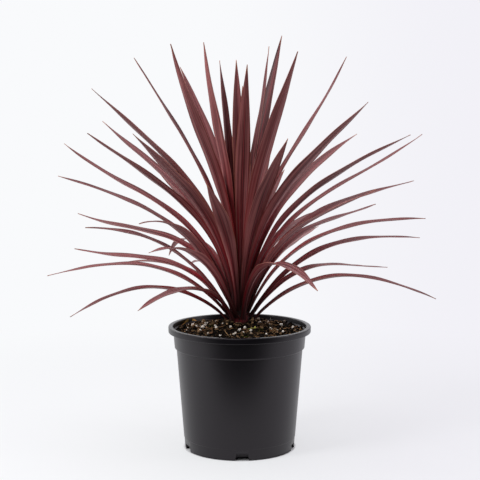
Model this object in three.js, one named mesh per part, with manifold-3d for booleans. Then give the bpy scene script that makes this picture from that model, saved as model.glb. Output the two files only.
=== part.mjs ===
// A young red-leaved cabbage tree (cordyline) standing in a black nursery pot.
// Millimetres, +Z up, origin on the floor under the middle of the pot, the front towards -Y.
import * as THREE from 'three';
import { mergeVertices } from 'three/addons/utils/BufferGeometryUtils.js';
import Module from 'manifold-3d';

const wasm = await Module();
wasm.setup();

const gap = 0.35;                   // clearance of the soil from the pot's floor and from the stem

// The pot, a 22 cm nursery pot
const potHeight = 190;
const rimRadius = 110;              // outside of the lip
const mouthRadius = 103.2;          // inside of the lip
const lipHeight = 9;
const collarRadius = 102.4;         // band under the lip, at its top
const collarFoot = 157;             // height of the band's lower edge
const collarDraft = 2;              // the band narrows this much downwards
const bandDrop = 1.6;               // height of the step from the band in to the wall
const wallRadius = 97.5;            // the wall just under that step
const baseRadius = 85.3;
const footBand = 17;                // height of the faint step above the base
const potWall = 2;
const lipRound = 1.2;               // bevel of the lip's lower edge and of its outer top edge
const footStep = 0.5;               // the foot band stands in this much from the wall
const floorRise = 3;                // the outer floor stands clear of the ground
const padRadius = 60;               // the middle of the floor rests on the ground
const padSlope = 4;                 // width of the slope round that middle
const floorThick = 2.4;
const potSides = 48;

// Drain notches through the base edge
const notchCount = 5;
const notchTurn = 2.5;              // degrees away from the front
const notchWide = 22;               // at the ground
const notchNarrow = 17;             // at its top
const notchHigh = 8.7;
const notchFrom = 74;               // radius where the slot starts
const notchTo = 92;
const notchBelow = 2;               // the slot is cut from this far under the ground

// Soil, filled to just under the rim and heaped a little round the plant
const soilEdge = 182;
const soilCrown = 191;
const soilRadius = 98.8;
const soilSides = 48;
const soilRings = 11;
const soilLump = 1.5;               // height of the lumps, lowest to highest
const swellShare = 0.35;            // the long swells against that
const swellX = 9;                   // wavelengths of the long swells, over two pi
const swellY = 7.7;
const wallClear = 0.8;              // clearance of the soil from the pot's wall
const lumpFree = 26;                // lumps fade out inside this radius
const granuleHeight = 2.4;          // how far a white granule stands out
const granuleShare = 0.12;          // share of the points that are granules

// The short stem that carries the leaves, with its root end in the soil
const stemRoot = 95;
const stemFoot = 17.5;              // radius at its root collar and below
const stemLevel = 187;              // height of that collar, just inside the soil
const stemTip = 2.5;
const stemDome = 0.72;              // below 1, the top of the stem is rounder
const stemTop = 242;                // the top leaves sit just below this height
const rootBevel = 3;                // the root end is narrower by this much
const stemSides = 24;
const stemRings = 10;

// Leaf blades; shares are of a blade's length unless said otherwise
const bladeThick = 0.8;
const baseShare = 0.38;             // width at the stem against the full width
const widestFrom = 0.56;            // the blade has its full width from here
const tipLength = 0.4;              // the part that tapers to the tip
const tipBluntness = 1.8;
const tipStub = 0.012;              // the tip is cut off this far before its point
const handleShare = 0.4;            // length of the curve's handles against its chord
const foldLeast = 9;                // degrees each half is raised from flat
const foldMost = 34;
const rolledFrom = 0.5;             // the roll grows along the blade to here
const seatPitch = 2.7;              // step down the stem from one layer to the next
const seatSpread = 52;              // leaves nearer than this, in degrees, are layered,
const seatSpreadTop = 50;           // with this much more at the narrow top of the stem
const seatClear = 0.75;             // from the stem to the midrib line of a blade's foot
const topSeat = 3;                  // the first seat is this far below the stem's top
const bladeStations = [0, 0.05, 0.11, 0.19, 0.3, 0.43, 0.57, 0.7, 0.82, 0.92, 1];

// Each leaf: turn from +X, lean of its foot from upright, reach of its tip from the middle
// of the pot, height of its tip, lean of its tip from upright, width, and how far its
// outer half is rolled about its midrib.
const crownLeaves = [
  [235, 2, 168, 613, 27, 22, 0],
  [128, 3, 156, 590, 37, 21, 0],
  [222, 2, 71, 620, 11, 21, 0],
  [150, 3, 35, 596, 7, 25, 0],
  [110, 1, 14, 597, 2, 23, 0],
  [279, 3, 69, 587, 17, 23, 0],
  [15, 3, 46, 617, 8, 24, 0],
  [50, 3, 103, 637, 19, 24, 0],
  [302, 3, 154, 603, 30, 24, 0],
  [294, 9, 165, 482, 44, 25, 0],
  [60.5, 8, 148, 424, 54, 22, 0],
  [168, 4, 166, 601, 32, 21, 0],
  [15, 3.5, 171, 603, 29, 21, 0],
  [257, 18, 198, 420, 59, 23, 0],
  [215, 4, 40, 440, 12, 20, 0],
  [318, 1, 22, 440, 7, 20, 0],
  [61, 6, 118, 500, 29, 21, 0],
  [106, 2, 74, 520, 16, 20, 0],
];
const leftLeaves = [
  [218, 7, 259, 551, 51, 22, 0],
  [236, 14, 256, 490, 56, 27, 0],
  [140, 14, 300, 502, 60, 22, 0],
  [213, 10, 255, 489, 56.5, 23, -8],
  [152, 17, 327, 466, 59, 22, 0],
  [204, 20, 284, 428, 72, 22, 17],
  [150, 15.5, 310, 350, 79, 21, 8],
  [213, 35, 260, 356, 86, 21, 16],
  [170, 27.5, 264, 304, 84, 21, 10],
  [237, 42.5, 250, 368, 96, 23, 0],
  [247, 41, 303, 337, 93, 23, 0],
  [185, 37, 293, 271, 107, 21, 4],
  [200, 44, 265, 219, 124, 21, 0],
  [231, 33, 226, 243, 110, 23, 0],
  [120, 17, 243, 273, 142, 23, 0],
];
const rightLeaves = [
  [308, 9.5, 278, 532, 55, 24, 0],
  [45, 10, 279, 481, 67, 23, -5],
  [330, 11, 277, 487, 64.5, 23, 8],
  [14, 9, 297, 483, 58, 21, 0],
  [32, 19.5, 345, 403, 82, 22, -4],
  [312, 25, 276, 414, 71, 23, -8],
  [44, 25, 325, 360, 83, 20, 0],
  [64, 43, 318, 316, 83, 25, 0],
  [338, 23, 289, 366, 88, 21, -14],
  [24, 35, 324, 312, 98, 21, -6],
  [42, 46, 344, 250, 100, 21, 0],
  [352, 40, 299, 238, 118, 21, -3],
  [291, 15, 286, 285, 110, 24, 0],
];
const backLeaves = [
  [88, 8, 150, 560, 28, 21, 0],
  [80, 12, 220, 465, 56, 22, 0],
  [104, 10, 205, 480, 50, 22, 0],
  [122, 16, 270, 420, 66, 22, 0],
  [92, 22, 280, 390, 72, 22, 0],
  [80, 44, 280, 270, 98, 21, 0],
  [108, 44, 290, 250, 104, 21, 0],
  [94, 52, 262, 212, 120, 21, 0],
  [58, 21, 280, 352, 82, 21, 0],
  [138, 40, 285, 262, 100, 21, 0],
];

const plastic = { color: 0x1b1c1e, roughness: 0.5, metalness: 0 };
const peat = { color: 0x2c211b, roughness: 0.95, metalness: 0 };
const stemRed = { color: 0x6d2024, roughness: 0.6, metalness: 0 };
const leafRed = { color: 0x5c2a2f, roughness: 0.42, metalness: 0 };

// A small seeded generator, so that every draw is the same each time
let seed = 20417;
function draw() {
  seed = (seed * 1664525 + 1013904223) % 4294967296;
  return seed / 4294967296;
}

const toRad = THREE.MathUtils.degToRad;

function smooth(x) {
  const t = Math.min(1, Math.max(0, x));
  return t * t * (3 - 2 * t);
}

function asMesh(name, geometry, finish) {
  const mesh = new THREE.Mesh(geometry, new THREE.MeshStandardMaterial(finish));
  mesh.name = name;
  return mesh;
}

// Turning a profile of [radius, height] points about the upright axis
function turned(profile, sides) {
  const points = profile.map(([radius, height]) => new THREE.Vector2(radius, height));
  const geometry = new THREE.LatheGeometry(points, sides);
  geometry.rotateX(Math.PI / 2);
  return geometry;
}

// Points at the same place are joined, so that the surface is closed
function welded(geometry) {
  geometry.deleteAttribute('normal');
  geometry.deleteAttribute('uv');
  return mergeVertices(geometry, 1e-4);
}

function toSolid(geometry) {
  const merged = welded(geometry);
  return new wasm.Manifold(new wasm.Mesh({
    numProp: 3,
    vertProperties: new Float32Array(merged.attributes.position.array),
    triVerts: new Uint32Array(merged.index.array),
  }));
}

function toGeometry(solid) {
  const { vertProperties, triVerts } = solid.getMesh();
  const geometry = new THREE.BufferGeometry();
  geometry.setAttribute('position', new THREE.BufferAttribute(vertProperties, 3));
  geometry.setIndex(new THREE.BufferAttribute(triVerts, 1));
  return geometry;
}

// One drain notch: a slot through the base edge, wider at the ground, at a turn from +X
function notchCutter(turn) {
  const footHalf = (notchWide + ((notchWide - notchNarrow) * notchBelow) / notchHigh) / 2;
  const outline = new THREE.Shape();
  outline.moveTo(-footHalf, -notchBelow);
  outline.lineTo(footHalf, -notchBelow);
  outline.lineTo(notchNarrow / 2, notchHigh);
  outline.lineTo(-notchNarrow / 2, notchHigh);
  outline.closePath();
  const slot = new THREE.ExtrudeGeometry(outline, { depth: notchTo - notchFrom, bevelEnabled: false });
  slot.rotateX(Math.PI / 2);
  slot.translate(0, notchTo, 0);
  slot.rotateZ(turn - Math.PI / 2);
  return toSolid(slot);
}

function potPiece() {
  const lipFoot = potHeight - lipHeight;
  const wallTop = collarFoot - bandDrop;
  const collarLow = collarRadius - collarDraft;
  const taper = (wallRadius - baseRadius) / wallTop;
  const footTop = baseRadius + taper * footBand;
  const innerBase = baseRadius - potWall;
  const innerFloor = floorRise + floorThick;
  const outside = [
    [0, 0], [padRadius, 0], [padRadius + padSlope, floorRise],
    [innerBase, floorRise], [innerBase, 0], [baseRadius - footStep, 0],
    [footTop - footStep, footBand], [footTop, footBand + footStep * 2],
    [wallRadius, wallTop], [collarLow, collarFoot], [collarRadius, lipFoot],
    [rimRadius - lipRound, lipFoot], [rimRadius, lipFoot + lipRound],
    [rimRadius, potHeight - lipRound], [rimRadius - lipRound, potHeight],
  ];
  const inside = [
    [mouthRadius + lipRound, potHeight], [mouthRadius, potHeight - lipRound],
    [collarRadius - potWall, lipFoot], [collarLow - potWall, collarFoot],
    [wallRadius - potWall, wallTop], [innerBase + taper * innerFloor, innerFloor],
    [padRadius + padSlope, innerFloor], [padRadius, floorThick], [0, floorThick],
  ];
  let pot = toSolid(turned([...outside, ...inside], potSides));
  for (let k = 0; k < notchCount; k += 1) {
    const turn = toRad(-90 + notchTurn) + (k * 2 * Math.PI) / notchCount;
    pot = pot.subtract(notchCutter(turn));
  }
  return asMesh('pot', toGeometry(pot), plastic);
}

// Height of the soil at a radius, before its lumps
function soilLevel(radius) {
  const share = Math.max(0, radius - stemFoot) / (soilRadius - stemFoot);
  return soilCrown - (soilCrown - soilEdge) * Math.pow(share, 0.8);
}

// The soil is one body with a plain hole down its middle. It is turned from a profile,
// and then each point of its top is raised or lowered.
function soilPiece() {
  const hole = stemFoot + gap;
  const bottom = floorRise + floorThick + gap;
  const profile = [
    [0, floorThick + gap], [padRadius, floorThick + gap], [padRadius + padSlope - gap, bottom],
    [baseRadius - potWall - wallClear, bottom],
    [wallRadius - potWall - wallClear, collarFoot - bandDrop],
  ];
  for (let k = soilRings; k >= 0; k -= 1) {
    const radius = hole + ((soilRadius - hole) * k) / soilRings;
    profile.push([radius, soilLevel(radius)]);
  }
  profile.push([hole, stemRoot - gap], [0, stemRoot - gap]);
  const merged = welded(turned(profile, soilSides));
  const place = merged.attributes.position;
  for (let i = 0; i < place.count; i += 1) {
    const radius = Math.hypot(place.getX(i), place.getY(i));
    const height = place.getZ(i);
    if (height < soilEdge - gap) continue;
    const swell = Math.sin(place.getX(i) / swellX) + Math.cos(place.getY(i) / swellY + 1);
    let lift = soilLump * (swellShare * swell + draw() - 0.5);
    if (radius < soilRadius - 1 && draw() < granuleShare) lift += granuleHeight;
    lift *= smooth((radius - hole) / (lumpFree - hole));
    place.setZ(i, height + lift);
  }
  return asMesh('soil', merged, peat);
}

function stemRadius(height) {
  const down = Math.min(1, Math.max(0, (stemTop - height) / (stemTop - stemLevel)));
  return stemTip + (stemFoot - stemTip) * Math.pow(down, stemDome);
}

function stemPiece() {
  const profile = [
    [0, stemRoot], [stemFoot - rootBevel, stemRoot], [stemFoot, stemRoot + 2 * rootBevel],
  ];
  for (let k = 0; k <= stemRings; k += 1) {
    const height = stemLevel + ((stemTop - stemLevel) * k) / stemRings;
    profile.push([stemRadius(height), height]);
  }
  profile.push([0, stemTop + stemTip]);
  return asMesh('stem', turned(profile, stemSides), stemRed);
}

// Width of a blade at a share of its length
function bladeWidth(share, full) {
  const rise = baseShare + (1 - baseShare) * smooth(share / widestFrom);
  const left = Math.min(1, (1 + tipStub - share) / tipLength);
  return full * rise * (1 - Math.pow(1 - left, tipBluntness));
}

// The line down the middle of a blade: a curve in the leaf's own upright plane
function bladeLine(leaf, seatHeight) {
  const [turn, lean, reach, height, tipLean] = leaf;
  const out = new THREE.Vector3(Math.cos(toRad(turn)), Math.sin(toRad(turn)), 0);
  const at = (radius, z) => out.clone().multiplyScalar(radius).setZ(z);
  const footRadius = stemRadius(seatHeight) + seatClear;
  const handle = handleShare * Math.hypot(reach - footRadius, height - seatHeight);
  return new THREE.CubicBezierCurve3(
    at(footRadius, seatHeight),
    at(footRadius + handle * Math.sin(toRad(lean)), seatHeight + handle * Math.cos(toRad(lean))),
    at(reach - handle * Math.sin(toRad(tipLean)), height - handle * Math.cos(toRad(tipLean))),
    at(reach, height),
  );
}

// A blade has six points at each station: left edge, midrib and right edge, above and below
function leafPiece(name, leaf, seatHeight) {
  const [turn, , , , , full, roll] = leaf;
  const line = bladeLine(leaf, seatHeight);
  const level = new THREE.Vector3(-Math.sin(toRad(turn)), Math.cos(toRad(turn)), 0);
  const points = [];
  for (const share of bladeStations) {
    const centre = line.getPoint(share);
    const along = line.getTangent(share);
    const rolled = -toRad(roll) * smooth(share / rolledFrom);
    const side = level.clone().applyAxisAngle(along, rolled);
    const up = along.clone().cross(side).normalize();
    const half = bladeWidth(share, full) / 2;
    const radius = Math.hypot(centre.x, centre.y);
    const fold = Math.min(toRad(foldMost), Math.max(toRad(foldLeast), half / (2 * radius)));
    for (const drop of [0, -bladeThick]) {
      for (const edge of [1, 0, -1]) {
        points.push(centre.clone()
          .addScaledVector(side, edge * half * Math.cos(fold))
          .addScaledVector(up, Math.abs(edge) * half * Math.sin(fold) + drop));
      }
    }
  }
  const faces = [];
  const quad = (a, b, c, d) => faces.push(a, b, c, a, c, d);
  for (let k = 0; k + 1 < bladeStations.length; k += 1) {
    const here = 6 * k;
    const next = here + 6;
    quad(here, here + 1, next + 1, next);
    quad(here + 1, here + 2, next + 2, next + 1);
    quad(here + 3, next + 3, next + 4, here + 4);
    quad(here + 4, next + 4, next + 5, here + 5);
    quad(here, next, next + 3, here + 3);
    quad(here + 2, here + 5, next + 5, next + 2);
  }
  const last = 6 * (bladeStations.length - 1);
  quad(0, 3, 4, 1);
  quad(1, 4, 5, 2);
  quad(last, last + 1, last + 4, last + 3);
  quad(last + 1, last + 2, last + 5, last + 4);
  const geometry = new THREE.BufferGeometry().setFromPoints(points);
  geometry.setIndex(faces);
  return asMesh(name, geometry, leafRed);
}

// The steepest leaf is seated highest. Each further leaf is seated one step
// below the lowest one that it would overlap.
function seatHeights(leaves) {
  const stemMiddle = (stemLevel + stemTop) / 2;
  const slant = leaves.map(([, , reach, height]) => Math.atan2(reach, height - stemMiddle));
  const order = leaves.map((leaf, index) => index).sort((a, b) => slant[a] - slant[b]);
  const layer = [];
  order.forEach((index, rank) => {
    let depth = 0;
    for (const other of order.slice(0, rank)) {
      const apart = Math.abs(((leaves[index][0] - leaves[other][0] + 540) % 360) - 180);
      const spread = seatSpread + seatSpreadTop / (1 + layer[other]);
      if (apart < spread) depth = Math.max(depth, layer[other] + 1);
    }
    layer[index] = depth;
  });
  return layer.map((depth) => stemTop - topSeat - seatPitch * depth);
}

const plant = new THREE.Group();
plant.add(potPiece(), soilPiece(), stemPiece());
const sprays = { crown: crownLeaves, left: leftLeaves, right: rightLeaves, back: backLeaves };
const named = Object.entries(sprays).flatMap(([spray, rows]) => rows.map(
  (leaf, index) => [`leaf_${spray}_${index + 1}`, leaf],
));
const seats = seatHeights(named.map(([, leaf]) => leaf));
named.forEach(([name, leaf], index) => plant.add(leafPiece(name, leaf, seats[index])));

export default plant;
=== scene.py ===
# A red-leaved cabbage tree in a black nursery pot: finer pot, soil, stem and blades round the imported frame.
# Metres, +Z up, the front towards -Y.
import math
import random

import bmesh
import bpy
from mathutils import Matrix, Vector, noise


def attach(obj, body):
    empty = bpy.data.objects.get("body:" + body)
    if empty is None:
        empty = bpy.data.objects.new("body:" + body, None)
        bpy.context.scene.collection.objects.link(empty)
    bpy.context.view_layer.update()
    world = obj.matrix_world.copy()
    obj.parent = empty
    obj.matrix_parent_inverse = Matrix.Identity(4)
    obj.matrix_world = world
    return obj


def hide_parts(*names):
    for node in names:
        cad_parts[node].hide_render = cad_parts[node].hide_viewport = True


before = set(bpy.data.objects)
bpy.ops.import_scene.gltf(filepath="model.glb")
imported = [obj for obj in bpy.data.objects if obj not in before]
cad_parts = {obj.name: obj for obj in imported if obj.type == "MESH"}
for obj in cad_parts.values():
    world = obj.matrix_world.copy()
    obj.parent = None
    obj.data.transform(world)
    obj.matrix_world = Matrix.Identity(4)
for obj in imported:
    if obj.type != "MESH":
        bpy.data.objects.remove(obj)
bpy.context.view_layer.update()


def clamp(value, low=0.0, high=1.0):
    return max(low, min(high, value))


def smooth(value):
    share = clamp(value)
    return share * share * (3 - 2 * share)


def blendOf(first, second, share):
    return first + (second - first) * share


def colour(red, green, blue):
    # A colour given as a screen shows it, 0 to 255, as the linear values that shaders want
    def linear(level):
        level /= 255
        return level / 12.92 if level <= 0.04045 else ((level + 0.055) / 1.055) ** 2.4
    return (linear(red), linear(green), linear(blue), 1.0)


def addObject(name, data):
    made = bpy.data.objects.new(name, data)
    bpy.context.scene.collection.objects.link(made)
    return made


def meshOf(name, form):
    mesh = bpy.data.meshes.new(name)
    form.to_mesh(mesh)
    form.free()
    return mesh


# The camera, as fitted to the photograph
camera = {
    "place": (0.0006, -1.832, 0.525),
    "tiltDown": 6.30,          # degrees
    "focalPixels": 1201.2,
    "imagePixels": 480,
    "sensor": 36,              # mm
    "nearest": 0.05,
    "farthest": 60,
}


def makeCamera():
    data = bpy.data.cameras.new("camera")
    data.sensor_width = camera["sensor"]
    data.lens = camera["sensor"] * camera["focalPixels"] / camera["imagePixels"]
    data.clip_start = camera["nearest"]
    data.clip_end = camera["farthest"]
    eye = addObject("camera", data)
    eye.location = camera["place"]
    eye.rotation_euler = (math.radians(90 - camera["tiltDown"]), 0, 0)
    bpy.context.scene.camera = eye


def rayThrough(pixelX, pixelY):
    # The start and direction of the line of sight through a pixel of the photograph
    middle = camera["imagePixels"] / 2
    tilt = math.radians(camera["tiltDown"])
    right = (pixelX - middle) / camera["focalPixels"]
    up = (middle - pixelY) / camera["focalPixels"]
    ahead = Vector((0, math.cos(tilt), -math.sin(tilt)))
    above = Vector((0, math.sin(tilt), math.cos(tilt)))
    return Vector(camera["place"]), ahead + above * up + Vector((right, 0, 0))


makeCamera()
print("camera placed")


class Wire:
    # A socket of a material: sums on it add the Math nodes
    def __init__(self, shader, socket):
        self.shader = shader
        self.socket = socket

    def math(self, operation, *others):
        return self.shader.node("Math", {"operation": operation}, dict(enumerate([self, *others])))

    def __add__(self, other):
        return self.math("ADD", other)

    def __mul__(self, other):
        return self.math("MULTIPLY", other)

    def __sub__(self, other):
        return self.math("SUBTRACT", other)

    def __truediv__(self, other):
        return self.math("DIVIDE", other)

    def __rsub__(self, other):
        return self.shader.node("Math", {"operation": "SUBTRACT"}, {0: other, 1: self})

    __radd__ = __add__
    __rmul__ = __mul__

    def clipped(self):
        return self.shader.node("Clamp", {}, {"Value": self})

    def rising(self, low, high):
        # 0 below low, 1 above high, and smooth between
        inputs = {"Value": self, "From Min": low, "From Max": high}
        return self.shader.node("MapRange", {"interpolation_type": "SMOOTHSTEP"}, inputs)


class Shader:
    # A material on one Principled BSDF, or the world
    def __init__(self, name, world=False):
        self.owner = (bpy.data.worlds if world else bpy.data.materials).new(name)
        self.owner.use_nodes = True
        self.tree = self.owner.node_tree
        self.surface = self.tree.nodes.get("Principled BSDF")

    def node(self, kind, settings, inputs, output=0):
        made = self.tree.nodes.new("ShaderNode" + kind)
        for key, value in settings.items():
            if key == "stops":
                self.setStops(made.color_ramp, value)
            else:
                setattr(made, key, value)
        for key, value in inputs.items():
            self.feed(made.inputs[key], value)
        return Wire(self, made.outputs[output])

    def setStops(self, ramp, stops):
        while len(ramp.elements) < len(stops):
            ramp.elements.new(0.5)
        for element, (place, shade) in zip(ramp.elements, stops):
            element.position = place
            element.color = shade

    def feed(self, socket, value):
        if isinstance(value, Wire):
            self.tree.links.new(value.socket, socket)
        else:
            socket.default_value = value

    def set(self, **values):
        for name, value in values.items():
            self.feed(self.surface.inputs[name.replace("_", " ")], value)

    def place(self):
        return self.node("TexCoord", {}, {}, "Object")

    def parts(self, vector):
        split = self.node("SeparateXYZ", {}, {0: vector})
        return [Wire(self, split.socket.node.outputs[k]) for k in range(3)]

    def vector(self, x, y, z):
        return self.node("CombineXYZ", {}, {0: x, 1: y, 2: z})

    def noise(self, vector, scale, detail=2.0, roughness=0.5):
        inputs = {"Vector": vector, "Scale": scale, "Detail": detail, "Roughness": roughness}
        return self.node("TexNoise", {}, inputs)

    def mix(self, share, first, second):
        return self.node("Mix", {"data_type": "RGBA"}, {0: share, 6: first, 7: second}, 2)

    def brighten(self, shade, share):
        # A colour times a value
        scaled = self.node("CombineColor", {}, {0: share, 1: share, 2: share})
        settings = {"data_type": "RGBA", "blend_type": "MULTIPLY"}
        return self.node("Mix", settings, {0: 1.0, 6: shade, 7: scaled}, 2)

    def attribute(self, name):
        return self.node("Attribute", {"attribute_name": name}, {}, "Fac")

    def bump(self, height, strength, distance):
        inputs = {"Height": height, "Strength": strength, "Distance": distance}
        self.set(Normal=self.node("Bump", {}, inputs))


def addPiece(name, form, shaders, nodes=(), sharp=0):
    # Turns a bmesh into a finished piece that rides on the frame; edges past sharp degrees stay sharp
    mesh = meshOf(name, form)
    for shader in shaders:
        mesh.materials.append(shader.owner)
    mesh.shade_smooth()
    if sharp:
        mesh.set_sharp_from_angle(angle=math.radians(sharp))
    piece = addObject(name, mesh)
    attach(piece, "root")
    if nodes:
        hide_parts(*nodes)
    return piece


def turned(outline, steps):
    # Spins an outline of (radius, height) points about the upright axis
    form = bmesh.new()
    points = [form.verts.new((radius, 0, height)) for radius, height in outline]
    edges = [form.edges.new(pair) for pair in zip(points, points[1:])]
    bmesh.ops.spin(form, geom=points + edges, axis=(0, 0, 1), cent=(0, 0, 0),
                   angle=2 * math.pi, steps=steps, use_merge=True)
    bmesh.ops.remove_doubles(form, verts=form.verts[:], dist=1e-6)
    bmesh.ops.recalc_face_normals(form, faces=form.faces[:])
    return form


def roundedOutline(corners, steps=4):
    # Each corner is (radius, height, rounding); a rounded corner becomes an arc of a few points
    outline = []
    for index, (radius, height, rounding) in enumerate(corners):
        here = Vector((radius, height))
        if not rounding:
            outline.append(here)
            continue
        before = (Vector(corners[index - 1][:2]) - here).normalized() * rounding
        after = (Vector(corners[index + 1][:2]) - here).normalized() * rounding
        for step in range(steps + 1):
            share = step / steps
            outline.append(here + before * (1 - share) ** 2 + after * share ** 2)
    return [tuple(point) for point in outline]


# The pot
pot = {
    "height": 0.190,
    "rim": 0.110,              # outer radius of the lip
    "mouth": 0.1032,
    "mouthStep": 0.0006,       # under the lip the mouth narrows this much, this far above its foot
    "mouthRise": 0.002,
    "lip": 0.009,              # height of the lip
    "collar": 0.1024,          # radius of the band under the lip, at its top
    "collarFoot": 0.157,       # height of the band's lower edge
    "collarDraft": 0.002,
    "bandDrop": 0.0016,
    "wallRadius": 0.0975,
    "base": 0.0853,
    "footBand": 0.017,
    "footStep": 0.0005,
    "wall": 0.002,
    "floorRise": 0.003,
    "floorThick": 0.0024,
    "pad": 0.060,
    "padSlope": 0.004,
    "steps": 192,
    "notches": 5,
    "notchTurn": 2.5,          # degrees from the front
    "notchWide": 0.022,
    "notchNarrow": 0.017,
    "notchHigh": 0.0087,
    "notchFrom": 0.074,
    "notchTo": 0.092,
    "notchBelow": 0.002,
    "sharp": 40,               # degrees
    "shades": (colour(5, 4, 8), colour(10, 8, 13)),
    "dust": colour(150, 145, 138),
    "dustFrom": 0.02,          # it thins out between these heights
    "dustTo": 0.11,
    "rough": 0.28,
    "gloss": 0.47,
    "sheen": colour(255, 247, 253),
}


def plasticShader():
    shader = Shader("blackPlastic")
    place = shader.place()
    cloud = shader.noise(place, 18, 4, 0.6)
    grain = shader.noise(place, 1400, 2, 0.6)
    height = shader.parts(place)[2]
    # a few grains of dust that stuck near the foot
    cells = shader.node("TexVoronoi", {"feature": "F1"}, {"Vector": place, "Scale": 75.0})
    chosen = Wire(shader, cells.socket.node.outputs["Color"])
    chosen = shader.node("SeparateColor", {}, {0: chosen}).rising(0.8, 0.82)
    low = 1 - height.rising(pot["dustFrom"], pot["dustTo"])
    dust = (1 - cells.rising(0.025, 0.05)) * chosen * low
    black = shader.mix(cloud, *pot["shades"])
    shader.set(Base_Color=shader.mix(dust * 0.8, black, pot["dust"]),
               Roughness=cloud * 0.08 + grain * 0.05 + pot["rough"])
    shader.set(Specular_IOR_Level=pot["gloss"], Specular_Tint=pot["sheen"])
    shader.bump(grain, 0.12, 0.0002)
    return shader


def potCorners():
    # Radius, height and rounding of each corner, from the middle of the underside out and back in
    wall, collar, base = pot["wall"], pot["collar"], pot["base"]
    lipFoot = pot["height"] - pot["lip"]
    wallTop = pot["collarFoot"] - pot["bandDrop"]
    collarLow = collar - pot["collarDraft"]
    innerBase = base - wall
    innerFloor = pot["floorRise"] + pot["floorThick"]
    padEdge = pot["pad"] + pot["padSlope"]
    taper = (pot["wallRadius"] - base) / wallTop
    footTop = base + taper * pot["footBand"]
    return [
        (0, 0, 0), (pot["pad"], 0, 0.001), (padEdge, pot["floorRise"], 0.001),
        (innerBase, pot["floorRise"], 0.0005), (innerBase, 0, 0.0004),
        (base - pot["footStep"], 0, 0.0006), (footTop - pot["footStep"], pot["footBand"], 0.0002),
        (footTop, pot["footBand"] + pot["footStep"], 0.0003),
        (pot["wallRadius"], wallTop, 0.0005), (collarLow, pot["collarFoot"], 0.0009),
        (collar, lipFoot, 0.0006), (pot["rim"], lipFoot, 0.0013),
        (pot["rim"], pot["height"], 0.0016), (pot["mouth"], pot["height"], 0.0013),
        (pot["mouth"] - pot["mouthStep"], lipFoot + pot["mouthRise"], 0.001),
        (collar - wall, lipFoot, 0.001), (collarLow - wall, pot["collarFoot"], 0.001),
        (pot["wallRadius"] - wall, wallTop, 0.0005),
        (innerBase + taper * innerFloor, innerFloor, 0.0015),
        (padEdge, innerFloor, 0.001), (pot["pad"], pot["floorThick"], 0.001),
        (0, pot["floorThick"], 0),
    ]


def makePot():
    form = turned(roundedOutline(potCorners()), pot["steps"])
    piece = addPiece("pot_shell", form, [plasticShader()], ["pot"], pot["sharp"])
    cutter = addObject("notches", notchCutters())
    cut = piece.modifiers.new("notches", "BOOLEAN")
    cut.operation = "DIFFERENCE"
    cut.solver = "EXACT"
    cut.object = cutter
    graph = bpy.context.evaluated_depsgraph_get()
    finished = bpy.data.meshes.new_from_object(piece.evaluated_get(graph))
    piece.modifiers.clear()
    piece.data = finished
    bpy.data.objects.remove(cutter)


def notchCutters():
    form = bmesh.new()
    for index in range(pot["notches"]):
        block = bmesh.ops.create_cube(form, size=1)["verts"]
        for vert in block:
            high = vert.co.z > 0
            wide = pot["notchNarrow"] if high else pot["notchWide"]
            out = pot["notchTo"] if vert.co.x > 0 else pot["notchFrom"]
            level = pot["notchHigh"] if high else -pot["notchBelow"]
            vert.co = Vector((out, math.copysign(wide / 2, vert.co.y), level))
        turn = math.radians(-90 + pot["notchTurn"] + index * 360 / pot["notches"])
        bmesh.ops.rotate(form, verts=block, cent=(0, 0, 0), matrix=Matrix.Rotation(turn, 3, "Z"))
    return meshOf("notches", form)


makePot()
print("pot made")

# The soil
soil = {
    "edge": 0.182,             # height at the wall
    "crown": 0.191,            # height at the stem
    "radius": 0.0992,
    "hole": 0.01785,
    "mound": 0.0045,           # heaped this much more against the plant, and twice that at its sides
    "moundWide": 0.016,
    "bottom": 0.100,
    "wallClear": 0.0032,       # it stays this far from the wall's radius at the collar
    "footClear": 0.006,
    "collarDrop": 0.002,
    "edgeDrop": 0.004,
    "holeRise": 0.002,
    "steps": 200,
    "rings": 70,
    "lumps": [                 # height, how many to a metre, shift
        (0.0030, 55, (0, 0, 0)), (0.0026, 140, (5, 2, 1)), (0.0010, 420, (0, 0, 0)),
    ],
    "evenWide": 0.012,         # the lumps fade out over this distance from the hole
    "shades": [
        (0.4, colour(6, 5, 4)), (0.55, colour(18, 13, 10)), (0.66, colour(56, 40, 28)),
        (0.76, colour(118, 88, 60)),
    ],
    "gloss": 0.05,
}


def soilHeight(x, y):
    radius = math.hypot(x, y)
    out = radius - soil["hole"]
    share = clamp(out / (soil["radius"] - soil["hole"]))
    level = soil["crown"] - (soil["crown"] - soil["edge"]) * share ** 0.8
    spot = Vector((x, y, 0))
    lumps = sum(high * noise.noise(spot * many + Vector(shift)) for high, many, shift in soil["lumps"])
    sideways = (x / max(radius, soil["hole"])) ** 2
    mound = soil["mound"] * (1 + sideways) * (1 - smooth(out / soil["moundWide"]))
    return level + mound + lumps * smooth(out / soil["evenWide"])


def onSoil(x, y, lift=0):
    return Vector((x, y, soilHeight(x, y) + lift))


def soilSpot(pixelX, pixelY, lift=0):
    # Where the line of sight through a pixel meets the soil
    start, along = rayThrough(pixelX, pixelY)
    height = soil["edge"]
    for repeat in range(12):
        spot = start + along * ((height - start.z) / along.z)
        height = soilHeight(spot.x, spot.y)
    return spot + Vector((0, 0, lift))


def soilShader():
    shader = Shader("peat")
    place = shader.place()
    broad = shader.noise(place, 60, 3, 0.6)
    fine = shader.noise(place, 420, 4, 0.7)
    shade = shader.node("ValToRGB", {"stops": soil["shades"]}, {0: broad * 0.35 + fine * 0.65})
    shader.set(Base_Color=shade, Roughness=0.95, Specular_IOR_Level=soil["gloss"])
    shader.bump(fine, 0.9, 0.0012)
    return shader


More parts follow.
